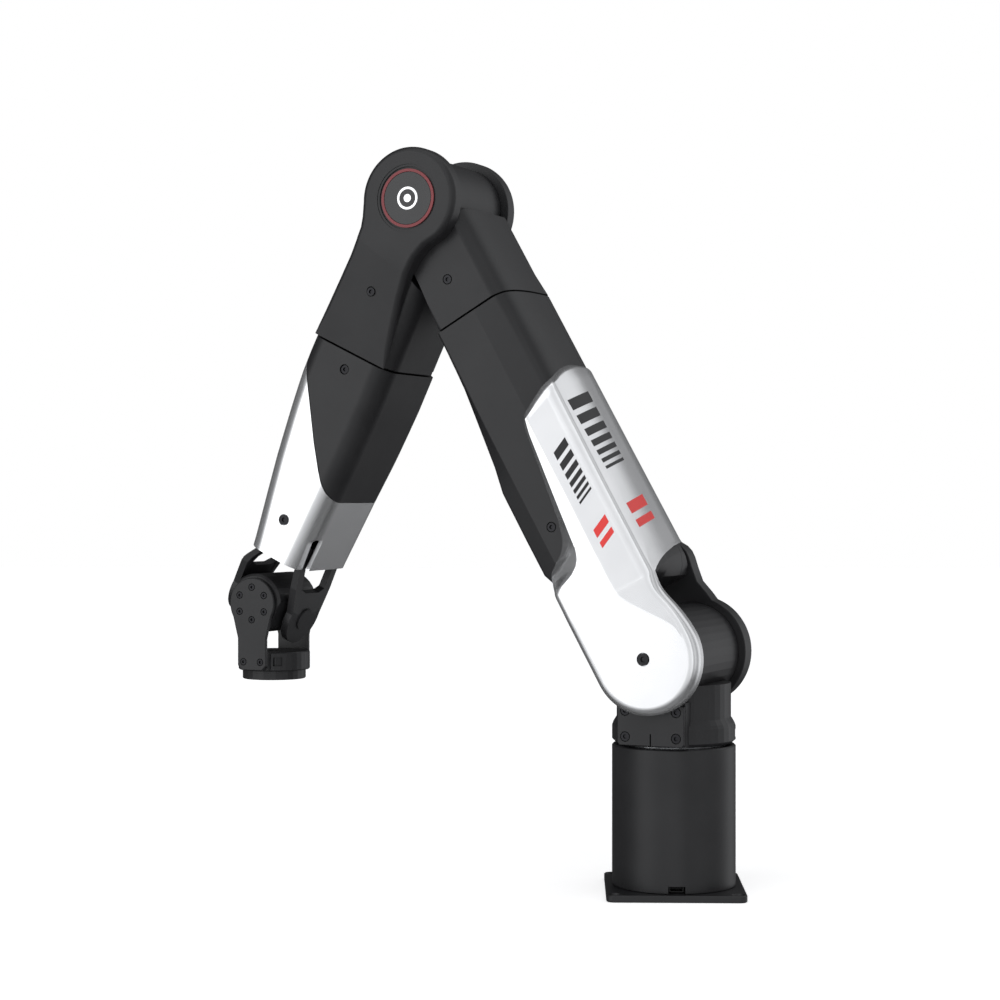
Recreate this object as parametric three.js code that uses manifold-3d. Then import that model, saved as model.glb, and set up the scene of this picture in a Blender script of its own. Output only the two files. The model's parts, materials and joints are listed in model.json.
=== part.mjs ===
// Seven-axis collaborative robot arm: base column, yaw turret, upper arm, elbow, forearm, wrist and tool yoke.
// Millimetres, +Z up, origin at the centre of the base plate's underside.
// Each link is modelled in its own frame and placed by nested groups, so its joint axis is a frame axis.
import * as THREE from 'three';
import { mergeVertices } from 'three/addons/utils/BufferGeometryUtils.js';
import Module from 'manifold-3d';

const wasm = await Module();
wasm.setup();

// ---------------------------------------------------------------- driving dimensions
const GAP = 0.3; // between pieces that touch
const SEAM = 1.2; // visible groove between two links
const WALL = 2.6; // moulded covers

const SHOULDER_Z = 138; // pitch axis above the plate's underside
const UPPER_LENGTH = 310; // shoulder axis to elbow axis
const FORE_LENGTH = 272; // elbow axis to wrist centre
const YAW = -23.6; // degrees, turret about +Z
const LEAN = 29.5; // degrees, upper arm away from upright
const HANG = 25.9; // degrees, forearm away from straight down

const PLATE = { side: 80, thick: 4, corner: 4.5, pitch: 70, hole: 2.25 };
const COLUMN = { radius: 36, wall: 3, top: 86 };
const PORT = { width: 9.6, height: 4.4 };
const TURRET = { bottom: 87, neckRadius: 33.3, plateFace: -37.4, plateHalf: 20.3, screwX: 15.5, screwZ: [92.8, 107.6] };
const DRUM_RADIUS = 28.5; // shoulder motor drum
const CHEEK = { front: -48.6, frontBack: -38.2, back: 33.5, backOut: 44, radius: 32.4, backRadius: 32.6 };
const ARM = { right: 25.5, left: -27, depth: 33, corner: 12, backCorner: 7, seam: 233, split: 22 };
const ELBOW = { drumRadius: 27, front: -33, back: 29.5, top: 283 };
const ELBOW_CHEEK = { front: -43.8, frontBack: -33.4, back: 30, backOut: 38.3, radius: 31, backRadius: 31.9 };
const FORE = { seam: 100.5, end: 238, half: 28, depth: 33 };
const FORK = { inner: 19.4, outer: 24, head: 17, base: 224 };
const CROSS = { radius: 18.6, front: -24.2, back: 22.2, flat: 16.2 };
const YOKE = { front: -27.3, frontBack: -24.8, backFront: 22.8, back: 25.4, half: 10.3, head: 16 };
const TOOL = { radius: 20, baseRadius: 22.6, floor: -31, base: -42.7, end: -48.5 };

// ---------------------------------------------------------------- materials
const material = (color, roughness, metalness) => new THREE.MeshStandardMaterial({ color, roughness, metalness });
const BLACK = material(0x1d1e20, 0.45, 0.2);
const SILVER = material(0xd8dadc, 0.32, 0.6);
const ALUMINIUM = material(0x9a9da1, 0.35, 0.9);
const STEEL = material(0x6b6e72, 0.3, 1.0);
const SCREW = material(0x141415, 0.35, 0.9);
const RED = material(0xc4292c, 0.4, 0.0);
const COPPER = material(0x8a4b2a, 0.4, 0.7);
const BOARD = material(0x1d5a35, 0.6, 0.0);

// ---------------------------------------------------------------- solids
// A closed geometry as a manifold solid, with its faces pointing out.
function solid(geometry) {
  geometry.deleteAttribute('normal');
  geometry.deleteAttribute('uv');
  const merged = mergeVertices(geometry, 1e-4);
  const at = merged.attributes.position;
  const index = merged.index.array;
  const kept = [];
  let volume = 0;
  const [a, b, c] = [new THREE.Vector3(), new THREE.Vector3(), new THREE.Vector3()];
  for (let i = 0; i < index.length; i += 3) {
    const [p, q, r] = [index[i], index[i + 1], index[i + 2]];
    if (p === q || q === r || r === p) continue;
    kept.push(p, q, r);
    volume += a.fromBufferAttribute(at, p).dot(b.fromBufferAttribute(at, q).cross(c.fromBufferAttribute(at, r)));
  }
  if (volume < 0) kept.reverse();
  return new wasm.Manifold(
    new wasm.Mesh({ numProp: 3, vertProperties: Float32Array.from(at.array), triVerts: Uint32Array.from(kept) }),
  );
}

const union = (...pieces) => pieces.reduce((whole, piece) => whole.add(piece));
const cut = (whole, ...pieces) => pieces.reduce((rest, piece) => rest.subtract(piece), whole);

function box([x0, x1], [y0, y1], [z0, z1]) {
  const geometry = new THREE.BoxGeometry(x1 - x0, y1 - y0, z1 - z0);
  geometry.translate((x0 + x1) / 2, (y0 + y1) / 2, (z0 + z1) / 2);
  return solid(geometry);
}

// Turns a profile of [radius, height] points about the X, Y or Z axis.
function turned(axis, profile, at = [0, 0, 0], segments = 48) {
  const geometry = new THREE.LatheGeometry(profile.map(([r, h]) => new THREE.Vector2(r, h)), segments);
  if (axis === 'z') geometry.rotateX(Math.PI / 2);
  if (axis === 'x') geometry.rotateZ(-Math.PI / 2);
  geometry.translate(...at);
  return solid(geometry);
}

// A disc or rod from one height to the other, with an optional chamfer at each end.
function rod(axis, radius, from, to, at, segments, low = 0, high = 0) {
  const profile = [[0, from], [radius - low, from]];
  if (low) profile.push([radius, from + low]);
  if (high) profile.push([radius, to - high]);
  profile.push([radius - high, to], [0, to]);
  return turned(axis, profile, at, segments);
}

const ring = (axis, outer, inner, from, to, at, segments) =>
  turned(axis, [[inner, from], [outer, from], [outer, to], [inner, to], [inner, from]], at, segments);

const outlineOf = (points) => new THREE.Shape(points.map(([x, y]) => new THREE.Vector2(x, y)));

// Extrudes an outline in X and Z along Y, with an optional chamfer of the same size on both faces.
function prismY(shape, from, to, chamfer = 0, curveSegments = 12) {
  const geometry = new THREE.ExtrudeGeometry(shape, {
    depth: to - from - 2 * chamfer,
    bevelEnabled: chamfer > 0,
    bevelThickness: chamfer,
    bevelSize: chamfer,
    bevelOffset: -chamfer,
    bevelSegments: 1,
    curveSegments,
  });
  geometry.rotateX(Math.PI / 2);
  geometry.translate(0, to - chamfer, 0);
  return solid(geometry);
}

// Extrudes an outline in Y and Z along X.
function prismX(points, from, to) {
  const geometry = new THREE.ExtrudeGeometry(outlineOf(points), { depth: to - from, bevelEnabled: false });
  geometry.applyMatrix4(new THREE.Matrix4().makeBasis(
    new THREE.Vector3(0, 1, 0), new THREE.Vector3(0, 0, 1), new THREE.Vector3(1, 0, 0),
  ));
  geometry.translate(from, 0, 0);
  return solid(geometry);
}

// Joins closed sections, each a list of [x, y] points at a height z, into one solid with flat ends.
function loft(sections) {
  const count = sections[0].points.length;
  const positions = [];
  const corner = (s, k) => [...sections[s].points[k % count], sections[s].z];
  for (let s = 0; s + 1 < sections.length; s += 1) {
    for (let k = 0; k < count; k += 1) {
      positions.push(...corner(s, k), ...corner(s, k + 1), ...corner(s + 1, k + 1));
      positions.push(...corner(s, k), ...corner(s + 1, k + 1), ...corner(s + 1, k));
    }
  }
  const caps = [[0, true], [sections.length - 1, false]];
  for (const [s, flip] of caps) {
    const contour = sections[s].points.map(([x, y]) => new THREE.Vector2(x, y));
    for (const face of THREE.ShapeUtils.triangulateShape(contour, [])) {
      const order = flip ? [face[2], face[1], face[0]] : face;
      positions.push(...order.flatMap((k) => corner(s, k)));
    }
  }
  const geometry = new THREE.BufferGeometry();
  geometry.setAttribute('position', new THREE.Float32BufferAttribute(positions, 3));
  return solid(geometry);
}

// A section of a link: flat front, back and right sides with rounded corners, and a left side that bulges.
function linkSection({ left, right, front, back, corner, backCorner = corner, leftCorner, bulge = 0, inset = 0 }) {
  const [x0, x1, y0, y1] = [left + inset, right - inset, front + inset, back - inset];
  const points = [];
  const arc = (cx, cy, r, start) => {
    for (let i = 0; i <= 4; i += 1) {
      const angle = THREE.MathUtils.degToRad(start + i * 22.5);
      points.push([cx + r * Math.cos(angle), cy + r * Math.sin(angle)]);
    }
  };
  const r = corner - inset / 2;
  const rear = backCorner - inset / 2;
  const small = Math.max(leftCorner - inset / 2, 0.5);
  arc(x1 - r, y0 + r, r, -90);
  arc(x1 - rear, y1 - rear, rear, 0);
  arc(x0 + small, y1 - small, small, 90);
  for (let i = 1; i < 6; i += 1) {
    points.push([x0, THREE.MathUtils.lerp(y1 - small, y0 + small, i / 6)]);
  }
  arc(x0 + small, y0 + small, small, 180);
  // The bulge reaches its full width a little way behind the front face and before the back face.
  const full = small + 0.5;
  const reach = (y) => THREE.MathUtils.clamp(Math.min(y - y0, y1 - y) / full, 0, 1);
  return points.map(([x, y]) => (x < 0 ? [x - bulge * reach(y), y] : [x, y]));
}

// A button-head screw let into a face whose outward normal is -Y.
function screwY(x, face, z, radius, length) {
  return turned('y', [
    [0, face + length], [radius * 0.6, face + length], [radius * 0.6, face + 2], [radius, face + 2], [radius, face],
    [radius * 0.5, face], [radius * 0.4, face + 1], [0, face + 1],
  ], [x, 0, z], 10);
}

// The counterbore and clearance hole that a screwY sits in.
function screwHole(x, face, z, radius, length) {
  const [head, shank] = [radius + 0.5, radius * 0.6 + 0.5];
  return turned('y', [
    [0, face + length + 0.5], [shank, face + length + 0.5], [shank, face + 2 + GAP], [head, face + 2 + GAP],
    [head, face - 2], [0, face - 2],
  ], [x, 0, z], 10);
}

function add(group, name, look, shape) {
  const { numProp, vertProperties, triVerts } = shape.getMesh();
  if (numProp !== 3) throw new Error(`${name} has extra vertex properties`);
  const geometry = new THREE.BufferGeometry();
  geometry.setAttribute('position', new THREE.BufferAttribute(vertProperties, 3));
  geometry.setIndex(new THREE.BufferAttribute(triVerts, 1));
  const flat = geometry.toNonIndexed();
  flat.computeVertexNormals();
  const mesh = new THREE.Mesh(flat, look.clone());
  mesh.name = name;
  group.add(mesh);
}

// ---------------------------------------------------------------- link frames
// In every turned frame Y is the direction of the shoulder, elbow and wrist pitch axes.
const arm = new THREE.Group();
const radians = THREE.MathUtils.degToRad;

const turret = new THREE.Group();
turret.rotation.z = radians(YAW);
arm.add(turret);

const upper = new THREE.Group(); // origin on the shoulder axis, Z up the arm
upper.position.z = SHOULDER_Z;
upper.rotation.y = -radians(LEAN);
turret.add(upper);

const elbow = new THREE.Group(); // origin on the elbow axis, Z along the upper arm
elbow.position.z = UPPER_LENGTH;
upper.add(elbow);

const forearm = new THREE.Group(); // origin on the elbow axis, -Z down the forearm
forearm.rotation.y = radians(LEAN + HANG);
elbow.add(forearm);

const foreRoll = new THREE.Group(); // the lower half, which rolls about the forearm's own Z
forearm.add(foreRoll);

const wrist = new THREE.Group(); // origin at the wrist centre, X along the wrist pitch axis
wrist.position.z = -FORE_LENGTH;
foreRoll.add(wrist);

const tool = new THREE.Group(); // origin at the wrist centre, tool face towards -Z
tool.rotation.y = -radians(HANG);
wrist.add(tool);

// ---------------------------------------------------------------- base
function roundedSquare(side, corner) {
  const h = side / 2;
  const shape = new THREE.Shape();
  shape.moveTo(-h + corner, -h);
  shape.lineTo(h - corner, -h);
  shape.absarc(h - corner, -h + corner, corner, -Math.PI / 2, 0, false);
  shape.absarc(h - corner, h - corner, corner, 0, Math.PI / 2, false);
  shape.absarc(-h + corner, h - corner, corner, Math.PI / 2, Math.PI, false);
  shape.absarc(-h + corner, -h + corner, corner, Math.PI, Math.PI * 1.5, false);
  return shape;
}

function basePlate() {
  const geometry = new THREE.ExtrudeGeometry(roundedSquare(PLATE.side, PLATE.corner), {
    depth: PLATE.thick - 1,
    bevelThickness: 0.5,
    bevelSize: 0.5,
    bevelOffset: -0.5,
    bevelSegments: 1,
    curveSegments: 6,
  });
  geometry.translate(0, 0, 0.5);
  let plate = solid(geometry);
  for (const x of [-1, 1]) {
    for (const y of [-1, 1]) {
      const at = [(x * PLATE.pitch) / 2, (y * PLATE.pitch) / 2, 0];
      plate = cut(plate, turned('z', [[0, -1], [PLATE.hole, -1], [PLATE.hole, 2], [PLATE.hole + 2.2, 5], [0, 5]], at, 14));
    }
  }
  return plate;
}

function baseColumn() {
  const { radius, wall, top } = COLUMN;
  const inner = radius - wall;
  const tube = turned('z', [
    [inner, PLATE.thick + GAP], [radius, PLATE.thick + GAP], [radius, top - 0.8], [radius - 0.8, top],
    [inner - 1, top], [inner - 1, top - 3], [inner, top - 4], [inner, PLATE.thick + GAP],
  ], [0, 0, 0], 48);
  const low = PLATE.thick;
  return cut(tube, box([-PORT.width / 2, PORT.width / 2], [-radius - 2, -radius + wall + 2], [low, low + PORT.height]));
}

function powerSocket() {
  const half = PORT.width / 2 - 0.5;
  const [low, high] = [PLATE.thick + GAP, PLATE.thick + PORT.height - GAP];
  const front = -COLUMN.radius + 6;
  const body = box([-half, half], [front, front + 14], [low, high]);
  return cut(body, box([-half + 0.8, half - 0.8], [front - 1, front + 6], [low + 0.7, high - 0.7]));
}

function controlBoard() {
  const parts = [rod('z', 29, 20, 21.6, [0, 0, 0], 32), box([-14, 6], [-12, 10], [21, 26]), box([12, 22], [-6, 8], [21, 28])];
  return cut(union(...parts), rod('z', 4, 15, 30, [0, 0, 0], 16));
}

add(arm, 'base_plate', BLACK, basePlate());
add(arm, 'base_column', BLACK, baseColumn());
add(arm, 'power_socket', SCREW, powerSocket());
add(arm, 'control_board', BOARD, controlBoard());
add(arm, 'yaw_motor_stator', COPPER, ring('z', 32, 22, 34, 58, [0, 0, 0], 28));
add(arm, 'yaw_bearing', STEEL, ring('z', 31.6, 27.4, 70, 80, [0, 0, 0], 32));

// ---------------------------------------------------------------- yaw turret
function yawShaft() {
  return turned('z', [
    [9, 30], [21.4, 30], [21.4, 60], [26.9, 66], [26.9, 85], [30, 85], [30, 86.7], [9, 86.7], [9, 30],
  ], [0, 0, 0], 28);
}

const drumBore = rod('y', 24, CHEEK.frontBack - 2, 24, [0, 0, SHOULDER_Z], 32);

function turretBody() {
  const { bottom, neckRadius, plateFace, plateHalf } = TURRET;
  const radius = COLUMN.radius;
  const post = turned('z', [
    [0, bottom], [radius - 2.2, bottom], [radius, bottom + 2], [radius, 97], [radius - 0.8, 99], [neckRadius, 102],
    [neckRadius, SHOULDER_Z], [0, SHOULDER_Z],
  ], [0, 0, 0], 44);
  const drum = rod('y', DRUM_RADIUS, plateFace + 0.6, CHEEK.back - 0.6, [0, 0, SHOULDER_Z], 40, 0.8, 0.8);
  const pad = box([-plateHalf, plateHalf], [plateFace + 2.4, -20], [bottom + 0.8, 113]);
  const trimmed = cut(
    cut(union(post, pad), box([-50, 50], [-60, plateFace + 2.4], [80, 150])),
    rod('y', DRUM_RADIUS - 1, -60, 60, [0, 0, SHOULDER_Z], 40),
    box([-50, 50], [-50, 50], [122, 150]),
  );
  const slot = box([26, 40], [8, 18], [90, 95]);
  let body = cut(union(trimmed, drum), drumBore, slot, box([-50, 50], [CHEEK.back - 0.6, 60], [80, 150]));
  for (const x of [-1, 1]) {
    for (const z of TURRET.screwZ) {
      body = cut(body, screwHole(x * TURRET.screwX, plateFace, z, 2.6, 9));
    }
  }
  return body;
}

function turretFrontPlate() {
  const { plateFace, plateHalf, screwX, screwZ, bottom } = TURRET;
  const low = bottom + 0.8;
  const shape = outlineOf([
    [-plateHalf + 1.5, low], [plateHalf - 1.5, low], [plateHalf, low + 1.5], [plateHalf, 111], [13, 113],
    [-13, 113], [-plateHalf, 111], [-plateHalf, low + 1.5],
  ]);
  let plate = cut(
    prismY(shape, plateFace, plateFace + 2.4 - GAP, 0.4),
    rod('y', DRUM_RADIUS + GAP, -60, 0, [0, 0, SHOULDER_Z], 40),
    box([-0.4, 0.4], [-40, -30], [low - 1, low + 7]),
  );
  for (const x of [-1, 1]) {
    for (const z of screwZ) {
      plate = cut(plate, screwHole(x * screwX, plateFace - 0.2, z, 2.6, 9));
    }
  }
  return plate;
}

add(turret, 'yaw_shaft', STEEL, yawShaft());
add(turret, 'turret_body', BLACK, turretBody());
add(turret, 'turret_front_plate', BLACK, turretFrontPlate());
for (const [side, x] of [['left', -1], ['right', 1]]) {
  for (const [row, z] of [['lower', TURRET.screwZ[0]], ['upper', TURRET.screwZ[1]]]) {
    add(turret, `turret_screw_${side}_${row}`, SCREW, screwY(x * TURRET.screwX, TURRET.plateFace, z, 2.6, 8));
  }
}
add(turret, 'shoulder_motor', COPPER, ring('y', 23.4, 12, -20, 18, [0, 0, SHOULDER_Z], 28));

// ---------------------------------------------------------------- upper arm
// The opening between the shoulder cheeks, as seen along X.
const ARCH = [
  [CHEEK.frontBack, -50], [CHEEK.frontBack, 43], [-24, 50.6], [-2, 57.7], [15, 60.7], [28, 57],
  [CHEEK.back - GAP, 48], [CHEEK.back - GAP, -50],
];
const shoulderArch = prismX(ARCH, -60, 60);

// Outline of the silver cover on the arm, from the top of the shoulder disc round to the right edge.
const COVER_OUTLINE = [
  [-31.6, 64], [-29, 74.4], [-22.5, 78.4], [-17.5, 83.4], [-15, 89.4], [-13, 96.4], [-6.8, 140.4], [-4.1, 158.4],
  [-1.8, 160.8], [10.3, 167.7], [17.5, 172], [23, 174.5], [28, 176], [28, 48], [26.5, 38],
];

function coverShape(inset) {
  const r = CHEEK.radius - inset;
  const shape = new THREE.Shape();
  shape.moveTo(r * Math.cos(0.35), r * Math.sin(0.35));
  shape.absarc(0, 0, r, 0.35, Math.PI, true);
  for (const [x, z] of COVER_OUTLINE) {
    shape.lineTo(x + (x < 12 ? inset : -inset), z > 150 ? z - inset : z);
  }
  return shape;
}

// Tilts a front face back: level up to a height, then falling by the slope along Z (or along -Z).
function tiltFront(shape, behind, level, slope, direction = 1) {
  return shape.warp((v) => {
    if (v[1] < behind) v[1] += Math.max(direction * v[2] - level, 0) * slope;
  });
}

// Outline of the cover's right side wall, as seen along X.
const COVER_SIDE = [
  [-40, 42], [-21, 49.5], [6, 56], [24, 58.5], [26, 60], [26, 182], [5, 182], [-17, 179], [-38, 173],
];

const COVER_SLOPE = 0.09;
const COVER_LEVEL = 40;

function silverCover() {
  const block = (inset, front, chamfer) => tiltFront(
    prismY(coverShape(inset), front, 0, chamfer, 20), CHEEK.frontBack, COVER_LEVEL, COVER_SLOPE,
  );
  const outer = cut(block(0, CHEEK.front, 3.8), box([-60, 60], [-ARM.depth - GAP, 60], [-60, 200]));
  const side = prismX(COVER_SIDE, ARM.right + GAP, 28);
  const hollow = block(WALL, CHEEK.front + WALL, 0);
  return cut(union(outer, side), hollow, shoulderArch, screwHole(0, CHEEK.front, 0, 3.4, 12));
}

function armSections(inset, stations) {
  return stations.map(([z, bulge, left = ARM.left]) => ({
    z,
    points: linkSection({
      left, right: ARM.right, front: -ARM.depth, back: ARM.depth, corner: ARM.corner, backCorner: ARM.backCorner,
      leftCorner: 3, bulge, inset,
    }),
  }));
}
const armBody = (inset, low, high) => loft(armSections(inset, [
  [low, 1], [72, 10], [98, 10.5], [124, 10], [158, 5.5], [190, 1.5], [high, 0.2, -26],
]));
const FOOT = { x: [-9, 18], z: [63, 78], reach: 26 }; // where the front cheek reaches into the shell

function armTube() {
  const tube = cut(armBody(0, 46, ARM.seam - SEAM / 2), armBody(WALL, 45, ARM.seam + 1));
  return cut(tube, shoulderArch, box([-60, 60], [-60, 60], [0, 48]));
}

function upperArmShell() {
  const foot = box([FOOT.x[0] - GAP, FOOT.x[1] + GAP], [-60, 0], [0, FOOT.z[1] + GAP]);
  return cut(armTube(), box([-60, 60], [ARM.split - GAP / 2, 60], [0, 400]), foot,
    screwHole(-18.8, -ARM.depth, 95.8, 2.6, 8));
}

function upperArmBackCover() {
  return cut(armTube(), box([-60, 60], [-60, ARM.split + GAP / 2], [0, 400]));
}

function frontCheek() {
  const face = CHEEK.front + WALL + GAP;
  const shape = outlineOf([[-9, 0], [18, 0], [18, FOOT.z[1]], [-9, FOOT.z[1]]]);
  return cut(
    union(
      rod('y', 27, face + 3, CHEEK.frontBack, [0, 0, 0], 40),
      rod('y', 8, face, CHEEK.frontBack, [0, 0, 0], 24),
      prismY(shape, face + 6, CHEEK.frontBack),
      box(FOOT.x, [CHEEK.frontBack - 2, -FOOT.reach], FOOT.z),
    ),
    screwHole(0, CHEEK.front, 0, 3.4, 12),
  );
}

function backCheek() {
  const shape = new THREE.Shape();
  const r = CHEEK.backRadius;
  shape.absarc(0, 0, r, 0.6, Math.PI - 0.25, true);
  shape.lineTo(-27, 62);
  shape.lineTo(-22, 92);
  shape.absarc(0, 92, 22, Math.PI, 0, true);
  for (const [x, z] of [[24.5, 62], [24, 47], [22.4, 35], [24.2, 26]]) shape.lineTo(x, z);
  return prismY(shape, CHEEK.back, CHEEK.backOut, 2.4, 20);
}

// The block that ties the cheeks together and the roll motor's housing above it.
function upperArmCore() {
  const bridge = box([-20, 20], [-FOOT.reach + GAP, FOOT.reach], [63, 76]);
  const housing = rod('z', 22, 76, ARM.seam - 16, [0, 0, 0], 40);
  return cut(union(bridge, housing), rod('z', 6, 60, 300, [0, 0, 0], 16), rod('z', 19, 96, 300, [0, 0, 0], 40));
}

add(upper, 'shoulder_output_flange', ALUMINIUM, ring('y', 20, 9, CHEEK.frontBack + GAP, -24, [0, 0, 0], 32));
add(upper, 'shoulder_front_cheek', ALUMINIUM, frontCheek());
add(upper, 'shoulder_back_cheek', BLACK, backCheek());
add(upper, 'upper_arm_core', ALUMINIUM, upperArmCore());
add(upper, 'upper_arm_shell', BLACK, upperArmShell());
add(upper, 'upper_arm_back_cover', BLACK, upperArmBackCover());
add(upper, 'silver_cover', SILVER, silverCover());
add(upper, 'shoulder_pivot_screw', SCREW, screwY(0, CHEEK.front, 0, 3.4, 11));
add(upper, 'upper_arm_screw', SCREW, screwY(-18.8, -ARM.depth, 95.8, 2.6, 7));
add(upper, 'roll_motor', COPPER, ring('z', 18.7, 9, 112, 146, [0, 0, 0], 36));
add(upper, 'roll_bearing', STEEL, ring('z', 21.5, 15, ARM.seam - 14, ARM.seam - 4, [0, 0, 0], 40));

// ---------------------------------------------------------------- elbow housing
function elbowHousing() {
  const [low, top] = [ARM.seam + SEAM / 2 - UPPER_LENGTH, ELBOW.top - UPPER_LENGTH];
  const sections = (inset, z0, z1) => loft([[z0, ARM.depth], [low + 16, ELBOW.back - 0.2], [z1, ELBOW.back - 0.2]].map(
    ([z, back]) => ({
      z,
      points: linkSection({
        left: -26, right: ARM.right, front: -ARM.depth, back, corner: ARM.corner, leftCorner: 3, inset,
      }),
    }),
  ));
  const shape = new THREE.Shape();
  shape.moveTo(-26, low - 5);
  shape.lineTo(ARM.right + 1, low - 5);
  shape.lineTo(ARM.right + 1, 0);
  shape.lineTo(-10, 0);
  shape.lineTo(-10, top);
  shape.absarc(-12.5, top - 13, 13, Math.PI / 2, Math.PI, false);
  const outer = sections(0, low, -2).intersect(prismY(shape, -60, 60));
  const inner = cut(sections(3, low - 1, top - 3), box([-60, 60], [-60, 60], [top - 8, 60]));
  const drum = rod('y', ELBOW.drumRadius, ELBOW.front, ELBOW.back, [0, 0, 0], 36, 0.8, 0.8);
  const bore = rod('y', 23, ELBOW.front - 1, ELBOW.back - 5, [0, 0, 0], 32);
  const clear = box([-60, 60], [ELBOW.back, 60], [-28, 40]);
  return cut(union(cut(outer, inner, clear), drum), bore, screwHole(-5.3, -ARM.depth, 257.4 - UPPER_LENGTH, 2.6, 8));
}

function rollShaft() {
  const low = ARM.seam - UPPER_LENGTH;
  return turned('z', [
    [7, low - 30], [14.6, low - 30], [14.6, low + 4], [19, low + 5], [19, low + 14], [7, low + 14], [7, low - 30],
  ], [0, 0, 0], 32);
}

add(elbow, 'elbow_housing', BLACK, elbowHousing());
add(elbow, 'elbow_roll_shaft', STEEL, rollShaft());
add(elbow, 'elbow_motor', COPPER, ring('y', 22.6, 12, -20, 16, [0, 0, 0], 40));
add(elbow, 'elbow_housing_screw', SCREW, screwY(-5.3, -ARM.depth, 257.4 - UPPER_LENGTH, 2.6, 7));

// ---------------------------------------------------------------- forearm, upper half
const FORE_CORNER = 8;
function foreSection(left, right, front, back, inset, bulge = 0) {
  return linkSection({ left, right, front, back, corner: FORE_CORNER, leftCorner: 6, bulge, inset });
}

// Side view of the half between the cheeks: its top clears the elbow housing when the arm is folded.
const FOLD_CLEARANCE = [[-27, -36], [-12, -33], [8, -39], [30, -54], [30, -FORE.seam], [-30, -FORE.seam]];

function cheekShape(radius, inset = 0) {
  const shape = new THREE.Shape();
  const r = radius - inset;
  shape.absarc(0, 0, r, -0.55, Math.PI + 0.62, false);
  const left = [[-22, -33], [-23, -45], [-25, -60], [-29, -FORE.seam + SEAM / 2]];
  const right = [[28, -FORE.seam + SEAM / 2], [24.5, -85], [20.5, -65], [18, -45], [20, -30]];
  for (const [x, z] of left) shape.lineTo(x + inset, z);
  for (const [x, z] of right) shape.lineTo(x - inset, z);
  return shape;
}

function forearmFrontCheek() {
  const plate = tiltFront(prismY(cheekShape(ELBOW_CHEEK.radius), ELBOW_CHEEK.front, -20, 3.4, 20), -36, 34, 0.12, -1);
  const back = box([-60, 60], [ELBOW_CHEEK.frontBack, 0], [-200, 60]);
  const badge = rod('y', 18.6, -60, ELBOW_CHEEK.front + 1.2, [0, 0, 0], 32);
  return cut(plate, back, badge, screwHole(0, ELBOW_CHEEK.front + 3, -60.5, 2.6, 8));
}

function forearmBackCheek() {
  return prismY(cheekShape(ELBOW_CHEEK.backRadius), ELBOW_CHEEK.back, ELBOW_CHEEK.backOut, 2.2, 20);
}

function forearmUpperHousing() {
  const bottom = -FORE.seam + SEAM / 2;
  const tube = (inset, low, high) => loft([
    { z: low, points: foreSection(-31.5, 28, -32.8, 29.6, inset) },
    { z: high, points: foreSection(-24, 26, -32.8, 29.6, inset) },
  ]);
  const profile = prismY(outlineOf(FOLD_CLEARANCE), -60, 60);
  const inner = tube(WALL, bottom - 1, -34).intersect(profile.translate([0, 0, -WALL * 1.3]));
  const shell = cut(tube(0, bottom, -32), inner, box([-60, 60], [-60, 60], [bottom - 3, bottom]));
  return cut(shell.intersect(profile), rod('y', ELBOW_CHEEK.radius + 1.4, -60, 60, [0, 0, 0], 36));
}

add(forearm, 'elbow_output_flange', ALUMINIUM, ring('y', 19, 9, ELBOW_CHEEK.frontBack + GAP, -24, [0, 0, 0], 32));
add(forearm, 'forearm_front_cheek', BLACK, forearmFrontCheek());
add(forearm, 'forearm_back_cheek', BLACK, forearmBackCheek());
add(forearm, 'forearm_upper_housing', BLACK, forearmUpperHousing());
add(forearm, 'elbow_badge', BLACK, rod('y', 15.6, ELBOW_CHEEK.front + 0.2, ELBOW_CHEEK.front + 0.9, [0, 0, 0], 32));
add(forearm, 'elbow_badge_ring', RED, ring('y', 17.6, 15.9, ELBOW_CHEEK.front + 0.1, ELBOW_CHEEK.front + 0.9, [0, 0, 0], 40));
add(forearm, 'forearm_upper_screw', SCREW, screwY(0, ELBOW_CHEEK.front + 3, -60.5, 2.6, 7));
add(forearm, 'forearm_roll_motor', COPPER, ring('z', 20, 14, -FORE.seam + 14, -FORE.seam + 34, [0, 0, 0], 36));

// ---------------------------------------------------------------- forearm, lower half
const LOWER_TOP = -FORE.seam - SEAM / 2;

function lowerTube(inset, low, high) {
  const stations = [
    [high, -31, FORE.half, FORE.depth], [-124, -31, FORE.half, FORE.depth], [-180, -26.4, FORE.half, FORE.depth],
    [-190, -24.8, FORE.half, FORE.depth], [-215, -20, 26.2, 31], [low, -16.2, 24.6, 29.5],
  ];
  return loft(stations.map(([z, left, right, back]) => ({
    z, points: foreSection(left, right, -FORE.depth, back, inset, 0.5),
  })).reverse());
}

// Line in the side view along which the black and the silver shell meet: silver is below and to the left.
function splitOutline(side) {
  const line = [[-40, -104], [-26, -122], [0, -161], [10, -175], [15, -182], [20, -187], [28, -193], [40, -201]];
  const offset = (side * GAP) / 2;
  const points = line.map(([x, z]) => [x + offset, z + offset]);
  return outlineOf(side > 0 ? [...points, [60, 0], [-60, 0]] : [[-60, -300], [60, -300], ...points.reverse()]);
}

const lowerShell = () => cut(lowerTube(0, -FORE.end, LOWER_TOP), lowerTube(WALL, -FORE.end - 1, LOWER_TOP + 1));
const SLOT = { x: [22.6, 40], y: [-40, -22.6], top: -221 };

function forearmBlackShell() {
  return cut(lowerShell().intersect(prismY(splitOutline(1), -60, 60)), screwHole(0, -FORE.depth, -111.5, 2.6, 8));
}

function forearmSilverShell() {
  const slot = box(SLOT.x, SLOT.y, [-FORE.end - 5, SLOT.top]);
  return cut(
    lowerShell().intersect(prismY(splitOutline(-1), -60, 60)), slot, screwHole(1.3, -FORE.depth, -213, 3.2, 9),
  );
}

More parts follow.
